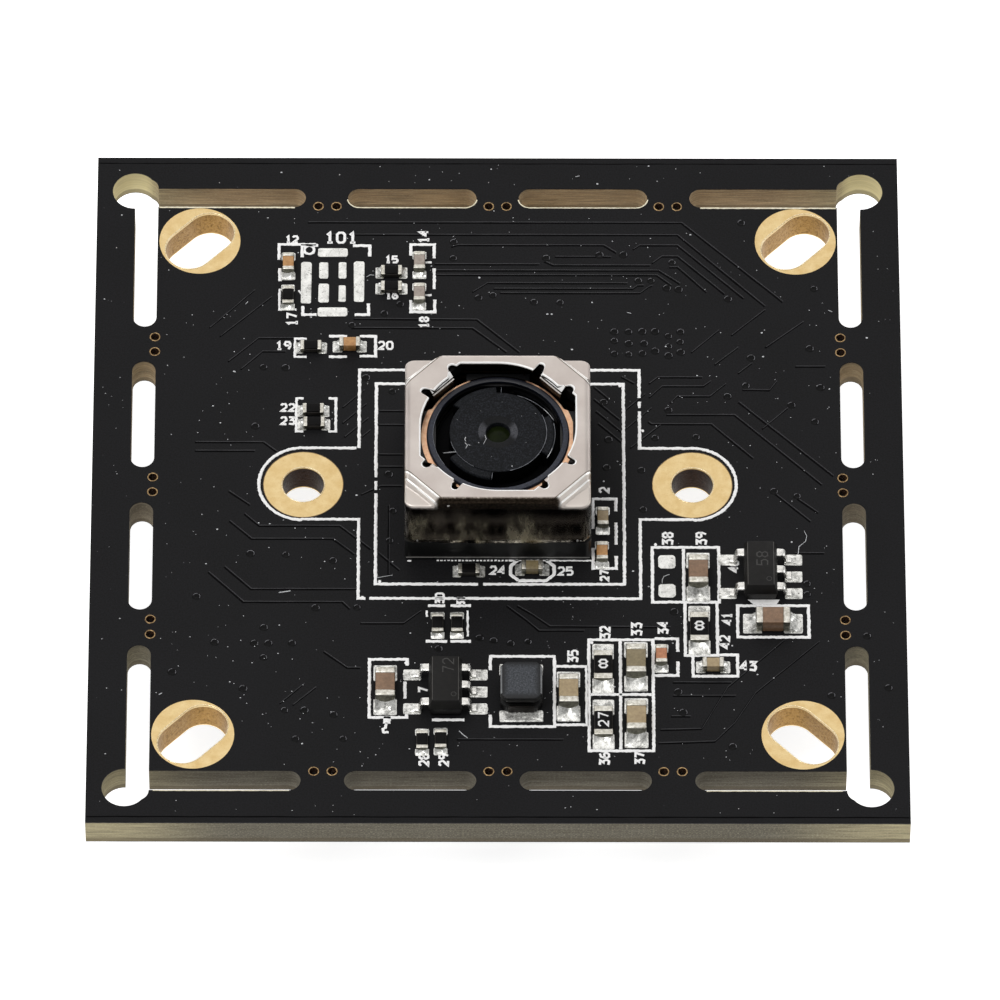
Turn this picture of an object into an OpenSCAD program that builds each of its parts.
/* [Board] */
// Side of the square circuit board
board_size = 38; // [36:0.5:42]
// Thickness of the circuit board
board_t = 1.6; // [1.2:0.1:2]
// Width of the routed break-away slots
route_w = 1.1; // [0.8:0.1:1.4]
// Distance from the board's centre to the middle line of the routed slots
route_c = 16.65; // [16.4:0.05:16.8]
// Radius of the relief circle in each corner
relief_r = 1.05; // [0.8:0.05:1.15]
// Radius of the small break-away holes
bite_r = 0.2; // [0.15:0.05:0.25]
// Half spacing of the corner mounting slots
corner_c = 14.1; // [13.8:0.1:14.2]
// Radius of the round ends of the corner mounting slots
corner_slot_r = 1.13; // [0.9:0.01:1.2]
// Length between the end centres of a corner mounting slot
corner_slot_l = 1.36; // [0.6:0.02:1.4]
// Radius of the copper pad round a corner mounting slot
corner_pad_r = 1.92; // [1.9:0.01:2.1]
// Distance between the two round holes for the lens holder screws
holder_pitch = 18.2; // [17:0.1:20]
// Radius of the round holes for the lens holder screws
holder_r = 0.97; // [0.8:0.01:1.1]
// Radius of the pad round each lens holder hole
holder_pad_r = 1.87; // [1.5:0.01:2]
// Thickness of the copper plating
plating_t = 0.05; // [0.03:0.01:0.08]

/* [Autofocus actuator] */
// Outside width of the steel can
can_w = 8.5; // [8.5:0.05:8.6]
// Height of the top of the can above the board
can_top = 4.77; // [4.7:0.01:4.9]
// Height of the lower shelf at the can's corners
can_shelf = 4.25; // [4.22:0.01:4.3]
// Sheet thickness of the can
can_t = 0.25; // [0.24:0.01:0.26]
// Half width of the opening in the top of the can
open_c = 3.6; // [3.55:0.01:3.62]
// Width of the plastic base along X
base_w = 8.7; // [8.6:0.05:9]
// Height of the plastic base
base_h = 1.4; // [1.35:0.05:1.4]
// Focus travel of the lens carrier
travel = 0.3; // [0.1:0.05:0.3]
// Outer radius of the lens carrier's collar
collar_r = 3.32; // [3.3:0.01:3.34]

/* [Lens] */
// Outer radius of the threaded lens barrel
barrel_r = 2.97; // [2.9:0.01:2.98]
// Radius of the raised front of the lens barrel
snout_r = 2.26; // [2.1:0.01:2.4]
// Height of the front face of the lens barrel above the board
snout_top = 4.3; // [4.25:0.01:4.35]
// Radius of the lens aperture
aperture_r = 0.56; // [0.4:0.01:0.7]

/* [Small parts] */
// Length of the larger chip parts
chip_l = 1.6; // [1.5:0.05:1.7]
// Width of the larger chip parts
chip_w = 0.9; // [0.7:0.05:0.9]
// Length of the smaller chip parts
small_l = 1.0; // [0.9:0.05:1.1]
// Width of the smaller chip parts
small_w = 0.55; // [0.4:0.05:0.6]
// Height of the voltage regulators
reg_h = 1.15; // [1:0.05:1.3]
// Height of the power inductor
coil_h = 1.15; // [1:0.05:1.4]

/* [Hidden] */
$fn = 48;

route_r = route_w / 2;
edge_c = route_c - route_r;            // edge of the inner board at the routed slots
relief_c = [17.22, 17.05];             // centre of a corner relief circle
bites = [-8.5, -7.65, -0.42, 0.42, 7.65, 8.5];
bite_c = 16.15;                        // break-away holes lie along the inner side of the slots
corners = [[-1, 1, 45], [1, 1, 45], [-1, -1, 45], [1, -1, -45]];
can_h = can_w / 2;
can_in = can_h - can_t;
base_d = can_w;
step_d = 6.75;                         // |x| + |y| where the corner step of the can starts
open_d = 5.25;                         // |x| + |y| of the opening's diagonal edges
diag = open_d / sqrt(2);
spring_t = 0.04;
spring_hi = 3.9;                       // upper spring's height
spring_lo = 1.6;                       // lower spring's height
rotor_z = spring_lo + spring_t;        // underside of the lens carrier
coil_in = 3.62;
coil_out = 3.86;
frame_in = 3.8;
frame_out = 3.98;

// position x, y and turn of each chip part on the top face
large_caps = [[-5.22, -11.64, 90], [3.27, -11.98, 90], [6.4, -10.3, 90],
  [6.4, -13.46, 90], [9.33, -5.26, 90], [12.78, -7.87, 0]];
small_caps = [[-9.9, 12.6, 90], [-3.7, 12.68, 90], [-3.7, 10.84, 90], [-6.97, 7.93, 0],
  [1.6, -4.85, 0], [4.9, -2.06, 90], [4.86, -4.02, 90], [7.58, -9.84, 90], [9.98, -10.33, 0]];
large_res = [[4.88, -10.42, 90], [4.88, -13.55, 90], [9.36, -8.27, 90]];
small_res = [[-9.9, 10.78, 90], [-5.02, 12.22, 0], [-5.02, 11.3, 0], [-8.8, 7.85, 0],
  [-8.66, 4.2, 0], [-8.62, 3.42, 0], [-1.35, -4.95, 0], [-2.8, -8.0, 90],
  [-1.9, -8.0, 90], [-3.5, -14.55, 90], [-2.65, -14.5, 90]];
// chip parts on the underside
rear_caps = [[-8.2, 6.5, 90], [-8.2, 4.5, 90], [8.6, 3, 90], [8.6, 5, 90], [-4.4, -4.5, 90], [-3.2, -4.5, 90]];
regs = [[-2.43, -11.73], [12.23, -5.22]];
ind_c = [1.08, -11.8];
ind_w = 1.95;
ind_d = 2.1;

// a slot of round ends between two points on one axis or the other, as squares and circles
module slot_x(x0, x1, y, r) {
  translate([x0, y - r]) square([x1 - x0, 2 * r]);
  translate([x0, y]) circle(r);
  translate([x1, y]) circle(r);
}

module slot_l(l, r) {
  translate([-l / 2, -r]) square([l, 2 * r]);
  translate([-l / 2, 0]) circle(r);
  translate([l / 2, 0]) circle(r);
}

module corner_slots(grow) {
  for (c = corners) translate([c[0] * corner_c, c[1] * corner_c])
    rotate(c[2]) slot_l(corner_slot_l, corner_slot_r + grow);
}

module corner_pads() {
  intersection() {
    for (c = corners) translate([c[0] * corner_c, c[1] * corner_c]) circle(corner_pad_r);
    square(2 * edge_c, center = true);
  }
}

module holder_holes(r) {
  for (s = [-1, 1]) translate([s * holder_pitch / 2, 0]) circle(r);
}

module board_outline() {
  difference() {
    square(board_size, center = true);
    for (a = [0:90:270]) rotate(a) {
      slot_x(1 + route_r, 7.1 - route_r, route_c, route_r);
      slot_x(-7.1 + route_r, -1 - route_r, route_c, route_r);
      slot_x(9.1 + route_r, relief_c[0], route_c, route_r);
      slot_x(-relief_c[0], -9.1 - route_r, route_c, route_r);
      for (b = bites) translate([b, bite_c]) circle(bite_r, $fn = 24);
    }
    for (sx = [-1, 1], sy = [-1, 1])
      translate([sx * relief_c[0], sy * relief_c[1]]) circle(relief_r);
    corner_slots(plating_t);
    holder_holes(holder_r + plating_t);
  }
}

module circuit_board() {
  color("#17181b") difference() {
    translate([0, 0, -board_t]) linear_extrude(board_t) board_outline();
    for (z = [-board_t - 1, -plating_t]) translate([0, 0, z])
      linear_extrude(1 + (z < -1 ? plating_t : 0)) {
        corner_pads();
        holder_holes(holder_pad_r);
      }
  }
}

// copper collars: a pad on each face joined by the plated wall of the hole
module corner_slot_plating() {
  color("#e6c78c") {
    difference() {
      union() {
        for (z = [-board_t, -plating_t]) translate([0, 0, z]) linear_extrude(plating_t) corner_pads();
        translate([0, 0, -board_t]) linear_extrude(board_t) corner_slots(plating_t);
      }
      translate([0, 0, -board_t - 1]) linear_extrude(board_t + 2) corner_slots(0);
    }
  }
}

module holder_hole_plating() {
  color("#e6c78c") for (s = [-1, 1]) translate([s * holder_pitch / 2, 0, 0]) difference() {
    union() {
      for (z = [-board_t, -plating_t]) translate([0, 0, z]) cylinder(h = plating_t, r = holder_pad_r);
      translate([0, 0, -board_t]) cylinder(h = board_t, r = holder_r + plating_t);
    }
    translate([0, 0, -board_t - 1]) cylinder(h = board_t + 2, r = holder_r);
  }
}

// empty solder pads: a microphone's eight and one chip part's two
module bare_pads() {
  color("#d9d6cc") for (p = [
      [-7.8, 13.42, 1.4, 0.5], [-7.8, 9.95, 1.4, 0.5], [-9.05, 11.65, 0.5, 2.4], [-6.55, 11.72, 0.5, 2.35],
      [-8.22, 12.37, 0.42, 0.95], [-7.33, 12.37, 0.36, 0.95], [-8.22, 11.05, 0.5, 1.1], [-7.35, 11.02, 0.34, 0.95],
      [7.88, -4.38, 0.8, 0.75], [7.88, -6.02, 0.8, 0.75]])
    translate([p[0] - p[2] / 2, p[1] - p[3] / 2, 0]) cube([p[2], p[3], 0.04]);
}

module rounded_sq(w, d, r) {
  square([w - 2 * r, d], center = true);
  square([w, d - 2 * r], center = true);
  for (sx = [-1, 1], sy = [-1, 1]) translate([sx * (w / 2 - r), sy * (d / 2 - r)]) circle(r);
}

module diamond(d) {
  rotate(45) square(d * sqrt(2), center = true);
}

module actuator_base() {
  color("#141416") difference() {
    union() {
      linear_extrude(base_h) rounded_sq(base_w, base_d, 0.3);
      linear_extrude(spring_lo) rounded_sq(2 * frame_out, 2 * frame_out, 0.2);
    }
    // clearance under the spring and the lens carrier, with four stops left in it
    difference() {
      translate([0, 0, base_h]) linear_extrude(1) square(2 * frame_in, center = true);
      for (a = [0:90:270]) rotate(a) translate([3.38, -0.5, 0]) cube([0.22, 1, rotor_z]);
    }
    translate([0, 0, -1]) linear_extrude(1.8) square(7, center = true);
    translate([0, 0, -1]) linear_extrude(2.05) square(6, center = true);
    translate([0, 0, -1]) cylinder(h = 4, r = 2.7);
  }
  color("#141416") for (a = [0:90:270]) rotate(a) translate([3.38, -0.5, base_h - 0.1])
    cube([0.22, 1, rotor_z - base_h + 0.1]);
}

module opening() {
  intersection() {
    union() {
      circle(open_c, $fn = 96);
      for (a = [0:-90:-270]) rotate(a) translate([-2.3, 0]) square([2.3, open_c]);
    }
    diamond(open_d);
  }
  for (a = [0:-90:-270]) rotate(a) {
    translate([-2.12, 3.3]) circle(0.22, $fn = 24);
    translate([1.97, 3.38]) circle(0.2, $fn = 24);
    translate([1.97, 3.18]) circle(0.16, $fn = 24);
  }
}

// side view of the can's rounded top edges
module can_profile(w, z0, z1, r) {
  translate([-w / 2, z0]) square([w, z1 - z0 - r]);
  translate([-w / 2 + r, z0]) square([w - 2 * r, z1 - z0]);
  for (s = [-1, 1]) translate([s * (w / 2 - r), z1 - r]) circle(r);
}

module can_edges(w, z1, r) {
  intersection() {
    rotate([90, 0, 0]) linear_extrude(w + 1, center = true) can_profile(w, 0, z1, r);
    rotate([90, 0, 90]) linear_extrude(w + 1, center = true) can_profile(w, 0, z1, r);
  }
}

module shield_can() {
  color("#cfc9c2") {
    difference() {
      intersection() {
        union() {
          translate([0, 0, base_h]) linear_extrude(can_shelf - base_h) rounded_sq(can_w, can_w, 0.4);
          translate([0, 0, base_h]) linear_extrude(can_top - base_h) intersection() {
            rounded_sq(can_w, can_w, 0.4);
            diamond(step_d);
          }
        }
        can_edges(can_w, can_top, 0.2);
      }
      translate([0, 0, base_h - 1]) linear_extrude(can_shelf - can_t - base_h + 1)
        rounded_sq(2 * can_in, 2 * can_in, 0.2);
      translate([0, 0, base_h - 1]) linear_extrude(can_top - can_t - base_h + 1) intersection() {
        rounded_sq(2 * can_in, 2 * can_in, 0.2);
        diamond(step_d - 0.35);
      }
      translate([0, 0, base_h]) linear_extrude(5) opening();
    }
    // yoke tabs folded down on the diagonals
    for (a = [45:90:315]) rotate(a) {
      translate([diag - can_t, -0.62, 2.3]) cube([can_t, 1.24, can_top - 2.3]);
      translate([diag - can_t, -0.62, can_top - can_t]) cube([can_t + 0.1, 1.24, can_t]);
    }
  }
}

module magnets() {
  color("#8f9296") for (a = [0:90:270]) rotate(a)
    translate([0, 0, 1.75]) linear_extrude(spring_hi - 1.75)
      polygon([[3.98, 1.87], [3.98, 3.7], [3.7, 3.98], [1.87, 3.98]]);
}

module focus_coil() {
  color("#b56a35") translate([0, 0, 2]) linear_extrude(1.5) difference() {
    intersection() { square(2 * coil_out, center = true); diamond(5.74); }
    intersection() { square(2 * coil_in, center = true); diamond(5.374); }
  }
}

module lens_carrier() {
  color("#2b2f3b") difference() {
    union() {
      translate([0, 0, rotor_z]) cylinder(h = 4.1 - rotor_z, r = collar_r, $fn = 96);
      for (a = [0:90:270]) rotate(a) {
        translate([2, -1.5, rotor_z]) cube([coil_in - 2, 3, spring_hi - rotor_z]);
        translate([2, -1.5, 1.8]) cube([1.84, 3, 0.2]);
      }
    }
    translate([0, 0, 1]) cylinder(h = 4, r = barrel_r + 0.02, $fn = 96);
  }
}

module spring_frame() {
  difference() {
    intersection() { square(2 * frame_out, center = true); diamond(6.3); }
    intersection() { square(2 * frame_in, center = true); diamond(5.45); }
  }
}

// flat leaf spring: inner ring, outer frame and four arms between them
module leaf(r0, r1, link_x) {
  spring_frame();
  difference() {
    circle(r1, $fn = 96);
    circle(r0, $fn = 96);
  }
  for (a = [0:90:270]) rotate(a) {
    translate([3.66, -1.28]) square([0.08, 3.46]);
    translate([link_x, -1.28]) square([3.72 - link_x, 0.1]);
    translate([3.66, 2.1]) square([0.2, 0.08]);
  }
}

module upper_spring() {
  color("#d9a074") translate([0, 0, spring_hi]) linear_extrude(spring_t) {
    leaf(collar_r + 0.01, 3.44, 3.22);
    for (a = [0, 180]) rotate(a) intersection() {
      difference() {
        circle(3.58, $fn = 96);
        circle(collar_r + 0.01, $fn = 96);
      }
      translate([3, -1.3]) square([1, 2.6]);
    }
  }
}

module lower_spring() {
  color("#d9a074") translate([0, 0, spring_lo]) linear_extrude(spring_t) leaf(3.02, 3.32, 2.95);
}

module spring_spacer() {
  color("#3a3d42") translate([0, 0, spring_hi + spring_t])
    linear_extrude(can_top - can_t - spring_hi - spring_t) spring_frame();
}

module coil_terminals() {
  color("#cfc4a6") for (s = [-1, 1]) translate([s * 1.4 - 0.25, can_h, 0]) {
    cube([0.5, 0.15, 1.1]);
    translate([0, 0.1, 0]) cube([0.5, 0.5, 0.12]);
  }
}

module lens_barrel() {
  color("#1b1c20") difference() {
    union() {
      translate([0, 0, 1.55]) cylinder(h = 1.75, r = barrel_r, $fn = 96);
      translate([0, 0, 1.55]) cylinder(h = snout_top - 1.55, r = snout_r, $fn = 96);
      // three wrench ribs
      for (a = [117, 237, 357]) rotate(a) intersection() {
        translate([0, 0, 3]) cylinder(h = 1.2, r = 2.6, $fn = 96);
        translate([0, 0, 2]) linear_extrude(3)
          polygon([[0, 0], [4 * cos(26), -4 * sin(26)], [4 * cos(26), 4 * sin(26)]]);
      }
    }
    translate([0, 0, snout_top - 0.2]) cylinder(h = 0.3, r1 = aperture_r, r2 = 1.07);
    translate([0, 0, 3]) cylinder(h = 2, r = aperture_r);
    translate([0, 0, 1]) cylinder(h = 2.95, r = 1.45);
    translate([0, 0, 1]) cylinder(h = 2.1, r = 1.85);
    translate([0, 0, 1]) cylinder(h = 1.6, r = 2.3);
  }
}

// a rimmed lens: flat flange with a domed face up and a hollow or domed face down
module lens(r, z0, z1, up_r, up_h, dn_r, dn_h) {
  up_s = (up_r * up_r + up_h * up_h) / (2 * up_h);
  dn_s = (dn_r * dn_r + dn_h * dn_h) / (2 * dn_h);
  difference() {
    union() {
      translate([0, 0, z0]) cylinder(h = z1 - z0, r = r);
      intersection() {
        translate([0, 0, z1 + up_h - up_s]) sphere(up_s);
        translate([0, 0, z1 - 0.02]) cylinder(h = 1, r = up_r);
      }
    }
    translate([0, 0, z0 + dn_h - dn_s]) sphere(dn_s);
  }
}

module front_lens() { color("#5a6a3c", 0.6) lens(1.43, 3.55, 3.95, 0.5, 0.08, 0.55, 0.1); }
module second_lens() { color("#7f8a70", 0.6) lens(1.43, 3.1, 3.5, 0.6, 0.04, 0.8, 0.12); }
module third_lens() { color("#7f8a70", 0.6) lens(1.83, 2.6, 3.05, 0.7, 0.04, 1.1, 0.15); }
module rear_lens() { color("#7f8a70", 0.6) lens(2.28, 2, 2.55, 1.1, 0.04, 1.5, 0.2); }

module light_baffles() {
  color("#0c0c0d") for (b = [[1.43, 0.65, 3.5], [1.83, 0.95, 3.05], [2.28, 1.35, 2.55]])
    translate([0, 0, b[2]]) difference() {
      cylinder(h = 0.05, r = b[0]);
      translate([0, 0, -1]) cylinder(h = 2, r = b[1]);
    }
}

module lens_retainer() {
  color("#17181b") translate([0, 0, 1.75]) difference() {
    cylinder(h = 0.25, r = 2.28);
    translate([0, 0, -1]) cylinder(h = 2, r = 1.75);
  }
}

module ir_filter() { color("#7fb7c9", 0.7) translate([-2.95, -2.95, 0.84]) cube([5.9, 5.9, 0.21]); }
module image_sensor() { color("#3d4a4f") translate([-3.1, -2.75, 0]) cube([6.2, 5.5, 0.4]); }
module sensor_cover_glass() { color("#a9c4c4", 0.6) translate([-3.1, -2.75, 0.4]) cube([6.2, 5.5, 0.35]); }

// moulded body with drafted sides, long axis along Y
module moulded(w, d, z0, z1) {
  m = (z0 + z1) / 2;
  intersection() {
    rotate([90, 0, 0]) linear_extrude(d, center = true)
      polygon([[-w / 2 + 0.1, z0], [w / 2 - 0.1, z0], [w / 2, m], [w / 2 - 0.1, z1], [-w / 2 + 0.1, z1], [-w / 2, m]]);
    rotate([90, 0, 90]) linear_extrude(w + 1, center = true)
      polygon([[-d / 2 + 0.1, z0], [d / 2 - 0.1, z0], [d / 2, m], [d / 2 - 0.1, z1], [-d / 2 + 0.1, z1], [-d / 2, m]]);
  }
}

// gull-wing lead towards +X from a body side at x0, foot tip at x1, centred on y = 0
module lead(x0, x1, zb, w, t) {
  xm = x0 + (x1 - x0) * 0.42;
  translate([0, w / 2, 0]) rotate([90, 0, 0]) linear_extrude(w)
    polygon([[x0, zb], [xm + t, zb], [xm + t + 0.12, t], [x1, t], [x1, 0], [xm + 0.12 - t / 2, 0], [xm - t / 2, zb - t], [x0, zb - t]]);
}

module regulator_bodies() {
  color("#2c2d30") for (p = regs) translate([p[0], p[1], 0]) moulded(1.56, 2.8, 0.06, reg_h);
}

module regulator_leads() {
  color("#d8d6cf") for (p = regs) translate([p[0], p[1], 0]) {
    for (y = [-0.95, 0, 0.95]) translate([0, y, 0]) lead(0.78, 1.42, 0.68, 0.38, 0.14);
    for (y = [-0.95, 0.95]) translate([0, y, 0]) rotate(180) lead(0.78, 1.42, 0.68, 0.38, 0.14);
  }
}

module inductor_core() {
  color("#3c3f46") translate([ind_c[0], ind_c[1], 0.06])
    linear_extrude(coil_h - 0.06) intersection() {
      rounded_sq(ind_w, ind_d, 0.15);
      diamond(ind_w / 2 + ind_d / 2 - 0.28);
    }
}

module inductor_terminals() {
  color("#d8d6cf") for (a = [0, 180]) translate([ind_c[0], ind_c[1], 0]) rotate(a) {
    translate([-0.6, ind_d / 2, 0]) cube([1.2, 0.08, 0.55]);
    translate([-0.6, ind_d / 2 - 0.5, 0]) cube([1.2, 0.55, 0.06]);
  }
}

module chip_body(l, w, h, e) { translate([-l / 2 + e, -w / 2 + 0.02, 0.02]) cube([l - 2 * e, w - 0.04, h - 0.04]); }
module chip_ends(l, w, h, e) { for (s = [0, 180]) rotate(s) translate([l / 2 - e, -w / 2, 0]) cube([e, w, h]); }
module place(list) { for (p = list) translate([p[0], p[1], 0]) rotate(p[2]) children(); }
module place_rear(list) { for (p = list) translate([p[0], p[1], -board_t]) rotate([180, 0, p[2]]) children(); }

module large_capacitor_bodies() { color("#8a7860") place(large_caps) chip_body(chip_l, chip_w, 0.8, 0.34); }
module large_capacitor_ends() { color("#d9d5ca") place(large_caps) chip_ends(chip_l, chip_w, 0.8, 0.34); }
module small_capacitor_bodies() {
  color("#a67c55") {
    place(small_caps) chip_body(small_l, small_w, 0.5, 0.22);
    place_rear(rear_caps) chip_body(small_l, small_w, 0.5, 0.22);
  }
}
module small_capacitor_ends() {
  color("#d9d5ca") {
    place(small_caps) chip_ends(small_l, small_w, 0.5, 0.22);
    place_rear(rear_caps) chip_ends(small_l, small_w, 0.5, 0.22);
  }
}
module large_resistor_bodies() { color("#1a1a1c") place(large_res) chip_body(chip_l, chip_w, 0.45, 0.32); }
module large_resistor_ends() { color("#d9d5ca") place(large_res) chip_ends(chip_l, chip_w, 0.45, 0.32); }
module small_resistor_bodies() { color("#1a1a1c") place(small_res) chip_body(small_l, small_w, 0.35, 0.2); }
module small_resistor_ends() { color("#d9d5ca") place(small_res) chip_ends(small_l, small_w, 0.35, 0.2); }

module image_processor() {
  color("#202124") translate([0, 2.5, -board_t - 0.9]) linear_extrude(0.85) rounded_sq(7, 7, 0.12);
}

// copper lands round the edge of the processor's underside
module processor_pads() {
  color("#d8d6cf") translate([0, 2.5, -board_t - 0.05]) for (a = [0:90:270]) rotate(a)
    for (i = [-5.5:5.5]) translate([i * 0.5 - 0.13, 3.15, 0]) cube([0.26, 0.5, 0.05]);
}

module memory_chip() { color("#232427") translate([-9.4, -5.5, -board_t]) mirror([0, 0, 1]) moulded(3.9, 4.9, 0.12, 1.55); }

module memory_chip_leads() {
  color("#d8d6cf") translate([-9.4, -5.5, -board_t]) mirror([0, 0, 1])
    for (s = [0, 180]) rotate(s) for (i = [-1.5:1.5]) translate([0, i * 1.27, 0]) lead(1.95, 3, 0.95, 0.42, 0.2);
}

module crystal() {
  color("#c9c9c6") translate([8.6, -5, -board_t]) mirror([0, 0, 1]) {
    linear_extrude(0.5) rounded_sq(2.5, 3.2, 0.2);
    linear_extrude(0.72) rounded_sq(2.1, 2.8, 0.2);
  }
}

// four-way side-entry wire connector on the underside, mouth towards +Y
module at_connector() { translate([0, 15.7, -board_t]) rotate(180) mirror([0, 0, 1]) children(); }

module usb_connector_housing() {
  color("#e9e4d4") at_connector() difference() {
    translate([-4, 0, 0]) cube([8, 4.2, 3.4]);
    translate([-3.1, -1, 0.55]) cube([6.2, 4, 2.3]);
    translate([-2.2, -1, 2]) cube([4.4, 2.6, 3]);
    // seats for the pins
    for (i = [-1.5:1.5]) translate([i * 1.25 - 0.16, 2.9, 1.5]) cube([0.32, 2, 0.32]);
    for (m = [0, 1]) mirror([m, 0, 0]) translate([3.15, 0.8, -1]) cube([2, 1.8, 1.25]);
  }
}

module usb_connector_pins() {
  color("#d9c68a") at_connector()
    for (i = [-1.5:1.5]) translate([i * 1.25 - 0.16, 0, 0]) {
      translate([0, 1, 1.5]) cube([0.32, 3.5, 0.32]);
      translate([0, 4.2, 0]) cube([0.32, 0.3, 1.82]);
      translate([0, 4.2, 0]) cube([0.32, 0.9, 0.2]);
    }
}

module usb_connector_tabs() {
  color("#d8d6cf") at_connector()
    for (s = [-1, 1]) translate([s * 3.55 - 0.4, 0.8, 0]) {
      cube([0.8, 1.8, 0.25]);
      translate([s > 0 ? 0.4 : -0.6, 0, 0]) cube([1, 1.8, 0.2]);
    }
}

circuit_board();
corner_slot_plating();
holder_hole_plating();
bare_pads();
actuator_base();
shield_can();
magnets();
focus_coil();
lens_carrier();
upper_spring();
lower_spring();
spring_spacer();
coil_terminals();
lens_barrel();
front_lens();
second_lens();
third_lens();
rear_lens();
light_baffles();
lens_retainer();
ir_filter();
image_sensor();
sensor_cover_glass();
regulator_bodies();
regulator_leads();
inductor_core();
inductor_terminals();
large_capacitor_bodies();
large_capacitor_ends();
small_capacitor_bodies();
small_capacitor_ends();
large_resistor_bodies();
large_resistor_ends();
small_resistor_bodies();
small_resistor_ends();
image_processor();
processor_pads();
memory_chip();
memory_chip_leads();
crystal();
usb_connector_housing();
usb_connector_pins();
usb_connector_tabs();
